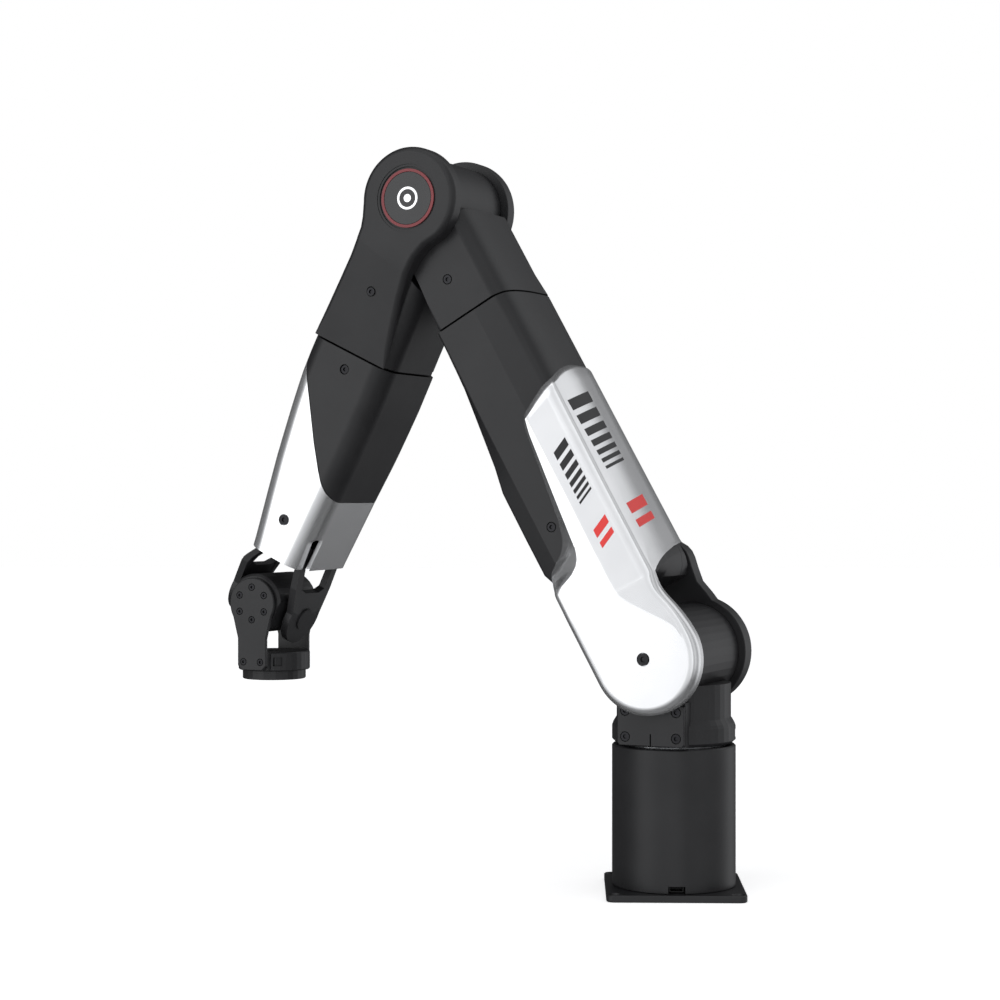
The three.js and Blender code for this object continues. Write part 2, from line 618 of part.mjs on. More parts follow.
function forearmCore() {
  const flange = rod('z', 23, LOWER_TOP - 8, LOWER_TOP - 0.4, [0, 0, 0], 36);
  const tube = rod('z', 14, -218, LOWER_TOP - 6, [0, 0, 0], 28);
  const neck = rod('z', 14.8, LOWER_TOP - 6, -FORE.seam + 12, [0, 0, 0], 28);
  return cut(union(flange, tube, neck), rod('z', 6, -300, 0, [0, 0, 0], 16));
}

// The wrist fork: a base in the shell's mouth, and on each side a cheek of two struts that meet in a round head.
function forkBase() {
  const high = -FORK.base;
  return cut(box([-12.6, 20.5], [-24, 24], [high - 8, high]), rod('z', 5, -300, 0, [0, 0, 0], 16));
}

function forkCheek(side) {
  const { inner, outer, head, base } = FORK;
  const top = FORE_LENGTH - base - 8 - GAP;
  // The struts spread slightly upwards. Both edges have points at the same heights, so that the lean below is even.
  const heights = [20, 25, 30, 35];
  const outerEdge = heights.map((z) => [20.5 + 0.14 * (z - 16), z]);
  const innerEdge = heights.map((z) => [14.2 + 0.2 * (z - 20), z]);
  const outline = new THREE.Shape();
  outline.absarc(0, 0, head, Math.PI - 0.2, 0.2, false);
  for (const [y, z] of [...outerEdge, [24, top]]) outline.lineTo(y, z);
  for (const [y, z] of [[24, top], ...outerEdge.toReversed()]) outline.lineTo(-y, z);
  const edge = [[8, 17.5], ...innerEdge];
  outline.holes.push(new THREE.Path(
    [...edge, ...edge.toReversed().map(([y, z]) => [-y, z])].map(([y, z]) => new THREE.Vector2(y, z)),
  ));
  const geometry = new THREE.ExtrudeGeometry(outline, { depth: outer - inner, bevelEnabled: false, curveSegments: 16 });
  geometry.applyMatrix4(new THREE.Matrix4().makeBasis(
    new THREE.Vector3(0, 1, 0), new THREE.Vector3(0, 0, 1), new THREE.Vector3(1, 0, 0),
  ));
  geometry.translate(side < 0 ? -outer : inner, 0, 0);
  const tuck = side < 0 ? 0.62 : 0; // the left struts lean further in, to enter the narrow side of the shell
  const leaning = solid(geometry).refineToLength(9).warp((v) => {
    v[0] -= side * (0.12 * Math.max(v[2] - 4, 0) + tuck * Math.max(v[2] - 22, 0));
  });
  return cut(leaning, rod('x', 7.3, -30, 30, [0, 0, 0], 24));
}

add(foreRoll, 'forearm_core', ALUMINIUM, forearmCore());
add(foreRoll, 'forearm_black_shell', BLACK, forearmBlackShell());
add(foreRoll, 'forearm_silver_shell', SILVER, forearmSilverShell());
add(foreRoll, 'forearm_lower_screw', SCREW, screwY(0, -FORE.depth, -111.5, 2.6, 7));
add(foreRoll, 'silver_shell_screw', SCREW, screwY(1.3, -FORE.depth, -213, 3.2, 8));
add(foreRoll, 'wrist_fork_base', BLACK, forkBase());

const fork = new THREE.Group(); // the fork's cheeks, drawn about the wrist centre
fork.position.z = -FORE_LENGTH;
foreRoll.add(fork);
add(fork, 'wrist_fork_left', BLACK, forkCheek(-1));
add(fork, 'wrist_fork_right', BLACK, forkCheek(1));

// ---------------------------------------------------------------- wrist cross
function crossHousing() {
  const { radius, front, back, flat } = CROSS;
  const body = rod('y', radius, front, back, [0, 0, 0], 32, 1.5, 1.5).intersect(box([-flat, flat], [-50, 50], [-50, 50]));
  const pins = rod('x', 7, -25, 25, [0, 0, 0], 24);
  return cut(union(body, pins), rod('y', 14.5, front - 1, back - 4, [0, 0, 0], 24));
}

add(wrist, 'wrist_cross', BLACK, crossHousing());
add(wrist, 'wrist_motor', COPPER, ring('y', 14, 6, -16, 14, [0, 0, 0], 24));

// ---------------------------------------------------------------- tool yoke
function yokeOutline(half, low) {
  const shape = new THREE.Shape();
  const angle = Math.asin(half / YOKE.head) + 0.35;
  shape.absarc(0, 0, YOKE.head, -Math.PI / 2 + angle, Math.PI * 1.5 - angle, false);
  shape.lineTo(-half, -22);
  shape.lineTo(-half, low + 3);
  shape.lineTo(-half + 3, low);
  shape.lineTo(half - 3, low);
  shape.lineTo(half, low + 3);
  shape.lineTo(half, -22);
  return shape;
}

const HEAD_SCREWS = [30, 90, 150, 210, 270, 330].map((degrees) => radians(degrees)).map(
  (angle) => [10.2 * Math.cos(angle), 10.2 * Math.sin(angle)],
);
const FOOT_SCREWS = [[-6.1, -36.7], [6.1, -36.7]];

function yokeFrontPlate() {
  let plate = prismY(yokeOutline(YOKE.half, TOOL.base + 0.7), YOKE.front, YOKE.frontBack, 0.5, 20);
  for (const [x, z] of [...HEAD_SCREWS, ...FOOT_SCREWS]) {
    plate = cut(plate, screwHole(x, YOKE.front - 0.2, z, 1.9, 6));
  }
  return plate;
}

const yokeBackPlate = () => prismY(yokeOutline(YOKE.half + 1, TOOL.base + 0.7), YOKE.backFront, YOKE.back, 0.5, 20);

function yokeBase() {
  const { baseRadius, floor, base } = TOOL;
  const disc = rod('z', baseRadius, base, floor, [0, 0, 0], 36, 0.6, 0.6);
  const half = YOKE.half - 0.5;
  const boss = box([-half, half], [YOKE.frontBack + GAP, YOKE.backFront - GAP], [base + 1, floor]);
  const port = cut(rod('z', 30, -39.5, -34, [0, 0, 0], 24), rod('z', baseRadius - 1.6, -50, 0, [0, 0, 0], 32))
    .intersect(box([11, 15.6], [-30, 0], [-50, 0]));
  let whole = cut(union(disc, boss), port, rod('z', 5, -60, 0, [0, 0, 0], 16));
  for (const [x, z] of FOOT_SCREWS) whole = cut(whole, screwHole(x, YOKE.front, z, 1.9, 6));
  return whole;
}

function toolFlange() {
  const { radius, base, end } = TOOL;
  let flange = turned('z', [
    [6, end + 2], [10, end + 2], [10, end], [radius - 0.5, end], [radius, end + 0.5], [radius, base - GAP],
    [6, base - GAP], [6, end + 2],
  ], [0, 0, 0], 32);
  for (let i = 0; i < 4; i += 1) {
    const angle = radians(45 + i * 90);
    flange = cut(flange, rod('z', 2.1, end - 1, end + 4, [15 * Math.cos(angle), 15 * Math.sin(angle), 0], 12));
  }
  return flange;
}

add(tool, 'yaw_output_flange', ALUMINIUM, HEAD_SCREWS.reduce(
  (flange, [x, z]) => cut(flange, screwHole(x, YOKE.front, z, 1.9, 6)),
  rod('y', 13.9, YOKE.frontBack + GAP, -18, [0, 0, 0], 32),
));
add(tool, 'yoke_front_plate', BLACK, yokeFrontPlate());
add(tool, 'yoke_back_plate', BLACK, yokeBackPlate());
add(tool, 'yoke_base', BLACK, yokeBase());
add(tool, 'tool_flange', BLACK, toolFlange());
for (const [i, [x, z]] of FOOT_SCREWS.entries()) {
  add(tool, `yoke_foot_screw_${i + 1}`, SCREW, screwY(x, YOKE.front, z, 1.9, 5));
}
for (const [i, [x, z]] of HEAD_SCREWS.entries()) {
  add(tool, `yoke_head_screw_${i + 1}`, SCREW, screwY(x, YOKE.front, z, 1.9, 5));
}

export default arm;
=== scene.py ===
"""The look of a seven-axis robot arm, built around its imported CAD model.

Every shape is drawn in millimetres in the frame of its own link, then placed by the joints of the model.
X points to the right of the link, Y along the pitch axes (the back is +Y), and Z along the link.
"""

import json
import math

import bmesh
import bpy
from mathutils import Matrix, Vector


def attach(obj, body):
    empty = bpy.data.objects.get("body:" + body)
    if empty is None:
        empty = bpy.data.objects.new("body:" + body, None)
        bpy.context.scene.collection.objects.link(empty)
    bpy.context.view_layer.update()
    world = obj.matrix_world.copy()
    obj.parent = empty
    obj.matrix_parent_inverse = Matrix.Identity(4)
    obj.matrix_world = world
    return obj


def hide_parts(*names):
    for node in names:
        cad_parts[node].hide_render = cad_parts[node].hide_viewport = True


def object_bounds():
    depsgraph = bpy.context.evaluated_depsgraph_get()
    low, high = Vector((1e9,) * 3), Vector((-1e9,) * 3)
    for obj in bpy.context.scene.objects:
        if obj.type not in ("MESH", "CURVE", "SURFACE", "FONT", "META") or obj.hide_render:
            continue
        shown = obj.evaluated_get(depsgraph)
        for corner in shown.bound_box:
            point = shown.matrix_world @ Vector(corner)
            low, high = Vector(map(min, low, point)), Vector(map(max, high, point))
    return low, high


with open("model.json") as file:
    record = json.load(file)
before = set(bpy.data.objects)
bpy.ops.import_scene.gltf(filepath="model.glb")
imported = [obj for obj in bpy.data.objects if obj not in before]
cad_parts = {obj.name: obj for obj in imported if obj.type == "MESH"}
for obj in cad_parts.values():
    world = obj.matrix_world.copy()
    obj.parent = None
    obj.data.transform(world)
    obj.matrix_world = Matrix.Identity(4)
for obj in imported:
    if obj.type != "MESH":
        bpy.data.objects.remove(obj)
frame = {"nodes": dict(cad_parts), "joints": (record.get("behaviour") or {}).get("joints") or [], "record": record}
CAD_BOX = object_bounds()
NODES = frame["nodes"]
JOINTS = {joint["name"]: joint for joint in frame["joints"]}
MM = 0.001

# ---------------------------------------------------------------- driving values
CAMERA_PLACE = (-0.0622, -1.2661, 0.2279)
CAMERA_AIM = (-0.031, 0.9995, 0.0)
CAMERA_LENS = 77.92
SENSOR_WIDTH = 36.0
FAR_CLIP = 50.0
BACKGROUND = (1.0, 1.0, 1.0, 1.0)
SMOOTH_ANGLE = math.radians(32)
FLOOR_SIZE = 12.0
FLOOR_DROP = 0.0002  # how far the floor lies under the base
FLOOR_GLOW = 0.62  # keeps the floor as pale as the background, with only a faint shadow

# ---------------------------------------------------------------- dimensions of the links, in millimetres
# upper arm
ARM_LEFT, ARM_RIGHT, ARM_DEPTH = -27.0, 25.6, 33.0
ARM_SPLIT = 22.0  # depth of the seam between the shell and the back cover
SEAM_HALF = 0.15
BULGE_DEPTH = 29.6
ARM_SCREW = (-18.8, 95.8)
ARCH_FLOOR = 41.5
# silver cover
DISC_FACE, DISC_FLAT = -48.6, 27.0  # depth of the disc, and the radius of its flat
CHEEK_BACK = -38.2
COVER_TILT, TILT_START = 0.09, 40  # the cover slopes towards the arm above this height
COVER_THICK = 2.2
COVER_TOP, TOP_BEVEL = 148, 4.5
WALL_WIDEST, WALL_SWELL = 29.4, 30  # where the right wall ends up, and the depth over which it swells to it
WALL_TURN = 18  # the depth where it starts to turn back in
# printed stripes
PRINT_LIFT, PRINT_SINK, PRINT_SKEW, PRINT_STEPS = 0.12, 0.4, 5.0, 8
# elbow housing
HOUSING_LOW = -76.4
HOUSING_BACK, SEAM_BACK = 29.5, 33.0
ELBOW_SCREW = (-5.3, -52.6)
# forearm
SEAM_Z, SEAM_GAP = -100.5, 0.6
FOOT_Z = SEAM_Z - 7  # the cheeks are drawn down to here, then cut at the seam
CHEEK_FACE, CHEEK_REAR, CHEEK_RIM = -43.8, -33.4, 3.6
WELL_RADIUS, WELL_FLOOR = 18.9, -42.6
GROOVE_RADIUS, GROOVE_FLOOR = 20.4, -43.4
SPLIT_GAP = 0.35
MOUTH_WALL = 2.4
MARK_FRONT, MARK_REAR = -43.72, -43.3
BACK_RIM = 2.4
# screw heads and edges
SHELL_SCREW_RADIUS, COVER_SCREW_RADIUS, MOUTH_SCREW_RADIUS = 2.6, 3.4, 3.2
SEAT_CLEARANCE, SEAT_DEPTH, SEAT_ABOVE = 0.5, 2.3, 3.0
FINE_EDGE = 0.25

# ---------------------------------------------------------------- link frames
PITCH_AXIS = Vector(JOINTS["shoulder_pitch"]["axis"])


def link_frame(origin, along):
    """The matrix from a link's millimetres to the model: Z is along the link, Y along the pitch axes."""
    z_axis = Vector(along).normalized()
    y_axis = PITCH_AXIS.normalized()
    turn = Matrix((y_axis.cross(z_axis), y_axis, z_axis)).transposed().to_4x4()
    return Matrix.Translation(origin) @ turn @ Matrix.Scale(MM, 4)


SHOULDER = Vector(JOINTS["shoulder_pitch"]["pos_m"])
ELBOW_AT = Vector(JOINTS["elbow_pitch"]["pos_m"])
ARM_AXIS = Vector(JOINTS["upper_arm_roll"]["axis"])
FORE_AXIS = -Vector(JOINTS["forearm_roll"]["axis"])
BASE = Matrix.Scale(MM, 4)
UPPER = link_frame(SHOULDER, ARM_AXIS)
ELBOW = link_frame(ELBOW_AT, ARM_AXIS)
FORE = link_frame(ELBOW_AT, FORE_AXIS)

# ---------------------------------------------------------------- camera, floor and light
camera_data = bpy.data.cameras.new("camera")
camera_data.lens = CAMERA_LENS
camera_data.sensor_width = SENSOR_WIDTH
camera_data.clip_end = FAR_CLIP
camera = bpy.data.objects.new("camera", camera_data)
camera.location = CAMERA_PLACE
camera.rotation_euler = Vector(CAMERA_AIM).to_track_quat("-Z", "Y").to_euler()
bpy.context.scene.collection.objects.link(camera)
bpy.context.scene.camera = camera
bpy.context.scene.view_settings.view_transform = "Standard"

MIDDLE = (-0.1, 0.0, 0.25)


def soft_light(name, place, size, power):
    """A large lamp at a place, facing the middle of the object."""
    data = bpy.data.lights.new(name, "AREA")
    data.shape = "RECTANGLE"
    data.size, data.size_y = size
    data.energy = power
    lamp = bpy.data.objects.new(name, data)
    lamp.location = place
    lamp.rotation_euler = (Vector(MIDDLE) - Vector(place)).to_track_quat("-Z", "Y").to_euler()
    bpy.context.scene.collection.objects.link(lamp)


soft_light("key_left", (-1.8, -1.1, 0.6), (1.0, 1.6), 4)
soft_light("fill_top", (-0.2, -0.3, 2.2), (2.0, 2.0), 4)
# Brightness of the room by direction, in degrees: 0 is the camera's side, and positive turns to its right.
ROOM = [
    (-180, 0.06), (-120, 0.1), (-85, 0.2), (-68, 1.0), (-42, 1.1), (-30, 0.85), (-15, 0.95), (-6, 1.0),
    (2, 1.2), (7, 1.2), (13, 0.55), (24, 0.45), (42, 0.75), (60, 0.6), (95, 0.45), (116, 0.95),
    (134, 0.75), (147, 0.2), (180, 0.06),
]
ROOM_COLOUR = (0.97, 0.98, 1.0, 1.0)
ROOM_BELOW = 0.12  # share of that brightness underneath
GROUND_START, GROUND_END = -0.18, -0.5  # between these heights of direction the room fades to that share


def room_level(nodes, links):
    """The socket that gives the room's brightness in every direction."""
    place = nodes.new("ShaderNodeTexCoord")
    split = nodes.new("ShaderNodeSeparateXYZ")
    links.new(place.outputs["Generated"], split.inputs["Vector"])
    to_front = nodes.new("ShaderNodeMath")
    to_front.operation = "MULTIPLY"
    to_front.inputs[1].default_value = -1.0
    links.new(split.outputs["Y"], to_front.inputs[0])
    turn = nodes.new("ShaderNodeMath")
    turn.operation = "ARCTAN2"
    links.new(split.outputs["X"], turn.inputs[0])
    links.new(to_front.outputs["Value"], turn.inputs[1])
    share = nodes.new("ShaderNodeMapRange")
    share.inputs["From Min"].default_value = -math.pi
    share.inputs["From Max"].default_value = math.pi
    links.new(turn.outputs["Value"], share.inputs["Value"])
    panels = nodes.new("ShaderNodeFloatCurve")
    curve = panels.mapping.curves[0]
    highest = max(level for _, level in ROOM)
    for degrees, level in ROOM:
        spot = (degrees / 360 + 0.5, level / highest)
        if degrees in (-180, 180):
            curve.points[0 if degrees < 0 else -1].location = spot
        else:
            curve.points.new(*spot)
    panels.mapping.update()
    links.new(share.outputs["Result"], panels.inputs["Value"])
    ground = nodes.new("ShaderNodeMapRange")
    ground.inputs["From Min"].default_value = GROUND_END
    ground.inputs["From Max"].default_value = GROUND_START
    ground.inputs["To Min"].default_value = highest * ROOM_BELOW
    ground.inputs["To Max"].default_value = highest
    links.new(split.outputs["Z"], ground.inputs["Value"])
    level = nodes.new("ShaderNodeMath")
    level.operation = "MULTIPLY"
    links.new(panels.outputs["Value"], level.inputs[0])
    links.new(ground.outputs["Result"], level.inputs[1])
    return level.outputs["Value"]


def studio_world():
    """White for the camera, and a soft grey room for light and reflections."""
    world = bpy.data.worlds.new("studio")
    world.use_nodes = True
    nodes, links = world.node_tree.nodes, world.node_tree.links
    nodes.clear()
    output = nodes.new("ShaderNodeOutputWorld")
    mix = nodes.new("ShaderNodeMixShader")
    room = nodes.new("ShaderNodeBackground")
    room.inputs["Color"].default_value = ROOM_COLOUR
    links.new(room_level(nodes, links), room.inputs["Strength"])
    white = nodes.new("ShaderNodeBackground")
    white.inputs["Color"].default_value = BACKGROUND
    white.inputs["Strength"].default_value = 1.0
    path = nodes.new("ShaderNodeLightPath")
    links.new(path.outputs["Is Camera Ray"], mix.inputs["Fac"])
    links.new(room.outputs["Background"], mix.inputs[1])
    links.new(white.outputs["Background"], mix.inputs[2])
    links.new(mix.outputs["Shader"], output.inputs["Surface"])
    bpy.context.scene.world = world


studio_world()


# ---------------------------------------------------------------- materials
GRAIN, BLOTCH = 0.5 * MM, 25.0 * MM  # sizes of the fine grain and of the slow drift in colour
GRAIN_STRENGTH = 0.35


def coated(name, low, high, metallic, roughness, grain_depth=0.02, specular=0.5):
    """A painted, moulded or metal surface: its colour drifts slowly, under a grain in roughness and height.

    low and high are the two ends of its colour, and roughness those of its roughness; grain_depth is in mm.
    """
    material = bpy.data.materials.new(name)
    material.use_nodes = True
    nodes, links = material.node_tree.nodes, material.node_tree.links
    shader = nodes["Principled BSDF"]
    shader.inputs["Metallic"].default_value = metallic
    shader.inputs["Specular IOR Level"].default_value = specular
    place = nodes.new("ShaderNodeTexCoord")
    blotch = nodes.new("ShaderNodeTexNoise")
    blotch.inputs["Scale"].default_value = 1 / BLOTCH
    blotch.inputs["Detail"].default_value = 4.0
    grain = nodes.new("ShaderNodeTexNoise")
    grain.inputs["Scale"].default_value = 1 / GRAIN
    grain.inputs["Detail"].default_value = 2.0
    links.new(place.outputs["Object"], blotch.inputs["Vector"])
    links.new(place.outputs["Object"], grain.inputs["Vector"])
    ramp = nodes.new("ShaderNodeValToRGB")
    ramp.color_ramp.elements[0].position = 0.3
    ramp.color_ramp.elements[0].color = (*low, 1)
    ramp.color_ramp.elements[1].position = 0.7
    ramp.color_ramp.elements[1].color = (*high, 1)
    links.new(blotch.outputs["Fac"], ramp.inputs["Fac"])
    links.new(ramp.outputs["Color"], shader.inputs["Base Color"])
    spread = nodes.new("ShaderNodeMapRange")
    spread.inputs["To Min"].default_value = roughness[0]
    spread.inputs["To Max"].default_value = roughness[1]
    links.new(grain.outputs["Fac"], spread.inputs["Value"])
    links.new(spread.outputs["Result"], shader.inputs["Roughness"])
    bump = nodes.new("ShaderNodeBump")
    bump.inputs["Strength"].default_value = GRAIN_STRENGTH
    bump.inputs["Distance"].default_value = grain_depth * MM
    links.new(grain.outputs["Fac"], bump.inputs["Height"])
    links.new(bump.outputs["Normal"], shader.inputs["Normal"])
    return material


LOOKS = {
    "black_paint": coated(
        "black_satin", (0.0115, 0.0115, 0.0125), (0.015, 0.015, 0.016), 0.0, (0.36, 0.46), specular=0.42,
    ),
    "silver_paint": coated(
        "silver_metallic", (0.8, 0.805, 0.815), (0.85, 0.852, 0.86), 0.9, (0.2, 0.25), grain_depth=0.006,
    ),
    "aluminium": coated("machined_aluminium", (0.50, 0.51, 0.53), (0.60, 0.61, 0.63), 1.0, (0.25, 0.42)),
    "steel": coated("ground_steel", (0.33, 0.34, 0.35), (0.42, 0.43, 0.44), 1.0, (0.2, 0.35)),
    "motor": coated("motor_varnish", (0.24, 0.08, 0.03), (0.34, 0.13, 0.05), 0.6, (0.35, 0.5)),
    "screw": coated("black_oxide_steel", (0.02, 0.02, 0.022), (0.035, 0.035, 0.038), 0.85, (0.3, 0.42)),
    "socket_plastic": coated(
        "moulded_plastic", (0.01, 0.01, 0.01), (0.016, 0.016, 0.016), 0.0, (0.5, 0.62),
    ),
    "circuit_board": coated("board_lacquer", (0.01, 0.07, 0.03), (0.02, 0.11, 0.05), 0.0, (0.35, 0.5)),
    "badge": coated("badge_gloss", (0.013, 0.013, 0.014), (0.018, 0.018, 0.019), 0.0, (0.22, 0.3)),
    "accent_red": coated("red_ink", (0.16, 0.02, 0.025), (0.2, 0.028, 0.033), 0.0, (0.35, 0.45)),
    "bright_red": coated("bright_red_ink", (0.72, 0.035, 0.03), (0.78, 0.042, 0.037), 0.0, (0.35, 0.45)),
}
FLOOR_LOOK = coated("pale_floor", (0.9, 0.9, 0.9), (0.93, 0.93, 0.93), 0.0, (0.5, 0.6), specular=0.2)

SLOT_OF = {part["node"]: part["material_slot"] for part in frame["record"]["subparts"]}


# ---------------------------------------------------------------- mesh tools
def mesh_object(name, points, faces):
    """A new object from points in millimetres."""
    mesh = bpy.data.meshes.new(name)
    mesh.from_pydata([tuple(point) for point in points], [], faces)
    work = bmesh.new()
    work.from_mesh(mesh)
    bmesh.ops.remove_doubles(work, verts=work.verts, dist=1e-3)
    bmesh.ops.dissolve_degenerate(work, edges=work.edges, dist=1e-4)
    bmesh.ops.recalc_face_normals(work, faces=work.faces)
    work.to_mesh(mesh)
    work.free()
    shape = bpy.data.objects.new(name, mesh)
    bpy.context.scene.collection.objects.link(shape)
    return shape


def table(rows):
    """A function that follows straight lines between (place, value) rows."""

    def value(place):
        for (a, x), (b, y) in zip(rows, rows[1:]):
            if place <= b:
                return x + (y - x) * max(0.0, (place - a) / (b - a))
        return rows[-1][1]

    return value


SIDE_SHARE = 0.47  # the most of a side that one corner's arc may take


def rounded(corners, steps=5, long_steps=22):
    """A closed outline from (x, y, radius) corners.

    A corner of (x, y, before, after) becomes one long curve between those distances from it.
    """
    points = []
    for i, corner in enumerate(corners):
        here = Vector(corner[:2])
        before = Vector(corners[i - 1][:2]) - here
        after = Vector(corners[(i + 1) % len(corners)][:2]) - here
        if len(corner) == 4:
            reaches, weight, count = corner[2:], 1.0, long_steps
        else:
            half = before.angle(after) / 2
            reach = min(corner[2] / math.tan(half), SIDE_SHARE * before.length, SIDE_SHARE * after.length)
            reaches, weight, count = (reach, reach), math.sin(half), steps
        start = here + before.normalized() * reaches[0]
        end = here + after.normalized() * reaches[1]
        for k in range(count + 1):
            t = k / count
            a, b, c = (1 - t) ** 2, 2 * weight * t * (1 - t), t ** 2
            points.append((start * a + here * b + end * c) / (a + b + c))
    return points


def ring_faces(rings, count, closed=True):
    """The quads between rings of the same number of points."""
    faces = []
    for i in range(rings - 1):
        for k in range(count if closed else count - 1):
            a, b = i * count + k, i * count + (k + 1) % count
            faces.append((a, b, b + count, a + count))
    return faces


def loft(name, stations):
    """A solid through sections at heights: each station is (z, outline)."""
    count = len(stations[0][1])
    points = [(x, y, z) for z, outline in stations for x, y in outline]
    faces = ring_faces(len(stations), count)
    faces.append(tuple(range(count)))
    faces.append(tuple(range((len(stations) - 1) * count, len(stations) * count)))
    return mesh_object(name, points, faces)


def inset(outline, distance):
    """The outline moved inwards; it runs anticlockwise."""
    moved = []
    for i, here in enumerate(outline):
        along = (outline[(i + 1) % len(outline)] - outline[i - 1]).normalized()
        moved.append(here + Vector((-along.y, along.x)) * distance)
    return moved


def dished(name, outline, profile):
    """A plate seen along Y, with flat ends: its outline is repeated at each (inset, y) of the profile."""
    rings = [[(p.x, y, p.y) for p in inset(outline, depth)] for depth, y in profile]
    count = len(outline)
    faces = ring_faces(len(rings), count)
    faces.append(tuple(range(count)))
    faces.append(tuple(range((len(rings) - 1) * count, len(rings) * count)))
    return mesh_object(name, [point for ring in rings for point in ring], faces)


def rim(back, front, radius, steps=5):
    """The (inset, y) profile of a plate whose front edge is rounded."""
    arc = [math.pi / 2 * k / steps for k in range(steps + 1)]
    return [(0, back)] + [(radius * (1 - math.cos(a)), front + radius * (1 - math.sin(a))) for a in arc]


CENTRE = 0.01  # a radius as good as none, where a turned solid ends on its axis


def turned(name, profile, axis="y", at=(0, 0, 0), count=96):
    """A solid of revolution from a closed run of (radius, height) points."""
    points = []
    for radius, height in profile:
        for k in range(count):
            angle = 2 * math.pi * k / count
            u, v = radius * math.cos(angle), radius * math.sin(angle)
            point = {"x": (height, u, v), "y": (u, height, v), "z": (u, v, height)}[axis]
            points.append([a + b for a, b in zip(point, at)])
    faces = ring_faces(len(profile), count)
    last = (len(profile) - 1) * count
    if profile[0] == profile[-1]:
        return mesh_object(name, points, faces)
    faces.append(tuple(range(count)))
    faces.append(tuple(range(last, last + count)))
    return mesh_object(name, points, faces)


def block(name, x, y, z):
    """A box from three (low, high) pairs, for cutting."""
    points = [(a, b, c) for a in x for b in y for c in z]
    faces = [(0, 1, 3, 2), (4, 6, 7, 5), (0, 4, 5, 1), (2, 3, 7, 6), (0, 2, 6, 4), (1, 5, 7, 3)]
    return mesh_object(name, points, faces)


def prism(name, outline, low, high):
    """An outline in X and Z, straight along Y."""
    return dished(name, [Vector(point[:2]) for point in outline], [(0, low), (0, high)])


def combine(target, tools, operation="DIFFERENCE"):
    """Cuts the tools from the target, or joins or keeps what they share, and removes them."""
    for tool in tools:
        modifier = target.modifiers.new("cut", "BOOLEAN")
        modifier.object = tool
        modifier.operation = operation
        modifier.solver = "EXACT"
    depsgraph = bpy.context.evaluated_depsgraph_get()
    result = bpy.data.meshes.new_from_object(target.evaluated_get(depsgraph))
    target.modifiers.clear()
    target.data = result
    for tool in tools:
        bpy.data.objects.remove(tool)
    return target


def screw_seat(x, face, z, radius):
    """A cutter for the counterbore round a screw head in a face towards -Y."""
    wide, low = radius + SEAT_CLEARANCE, face + SEAT_DEPTH
    return turned("seat", [(wide, face - SEAT_ABOVE), (wide, low), (CENTRE, low)], at=(x, 0, z), count=32)


BEVEL_ANGLE = math.radians(38)
FLAT_WEIGHT = 60


def edge_finish(shape, width, even=True):
    """Rounds the sharp edges, and shades flats flat and curves smooth; even suits meshes of even faces."""
    if width:
        bevel = shape.modifiers.new("edges", "BEVEL")
        bevel.width = width * MM
        bevel.segments = 2
        bevel.limit_method = "ANGLE"
        bevel.angle_limit = BEVEL_ANGLE
        bevel.use_clamp_overlap = True
        bevel.harden_normals = not even
    shape.data.shade_smooth()
    shape.data.set_sharp_from_angle(angle=SMOOTH_ANGLE)
    if even:
        weighted = shape.modifiers.new("flats", "WEIGHTED_NORMAL")
        weighted.keep_sharp = True
        weighted.weight = FLAT_WEIGHT


def settle(shape, place, body, slot, replaced=(), edge=0.35, look=None):
    """Puts a finished shape on its body, with its material: the slot's own look, or another."""
    shape.data.transform(place)
    shape.data.materials.clear()
    shape.data.materials.append(LOOKS[look or slot])
    edge_finish(shape, edge)
    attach(shape, body)
    if replaced:
        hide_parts(*replaced)
    return shape


# ---------------------------------------------------------------- upper arm body
ARM_BULGE = table([
    (38, 0.4), (58, 0.4), (62, 3.5), (66, 8.3), (74, 11.5), (98, 11.6), (129, 11.4), (145, 8.3),
    (170, 5.3), (195, 2.3), (232.4, 0.3),
])
ARM_FACET = table([(38, 2.4), (205, 2.4), (232.4, 0.6)])


def bend(start, corner, end, count):
    """Points on a smooth turn from start to end, without start."""
    turn = []
    for k in range(1, count + 1):
        t = k / count
        turn.append(start * (1 - t) ** 2 + corner * 2 * t * (1 - t) + end * t ** 2)
    return turn


RIGHT_CURVE = (ARM_RIGHT, -25.0, 8.0, 37.0)  # the long curve from the front face round to the right side


def arm_section(w):
    """The black body: a flat front, a turned facet, a rounded right side, and a bulge on the left."""
    bulge = ARM_LEFT - ARM_BULGE(w)
    return rounded([
        (ARM_LEFT, -ARM_DEPTH, 2.5), (0.6, -ARM_DEPTH, 3), (16.3, -ARM_DEPTH + ARM_FACET(w), 3),
        RIGHT_CURVE, (ARM_RIGHT, ARM_DEPTH, 7), (ARM_LEFT, ARM_DEPTH, 2.5),
        (bulge, BULGE_DEPTH, 2.5), (bulge, -BULGE_DEPTH, 2.5),
    ])


ARM_STATIONS = [
    38, 46, 58, 60, 62, 64, 66, 68, 71, 74, 80, 98, 110, 124, 129, 137, 145, 158, 170, 182, 195, 205,
    220, 232.4,
]
ARCH_EDGE = table([(-34, 44), (-21, 49.5), (6, 56), (26, 58.6), (40, 59)])
ARCH_DEPTHS = (-33.6, -28, -21, -12, -3, 6, 15, 26, 33.6)


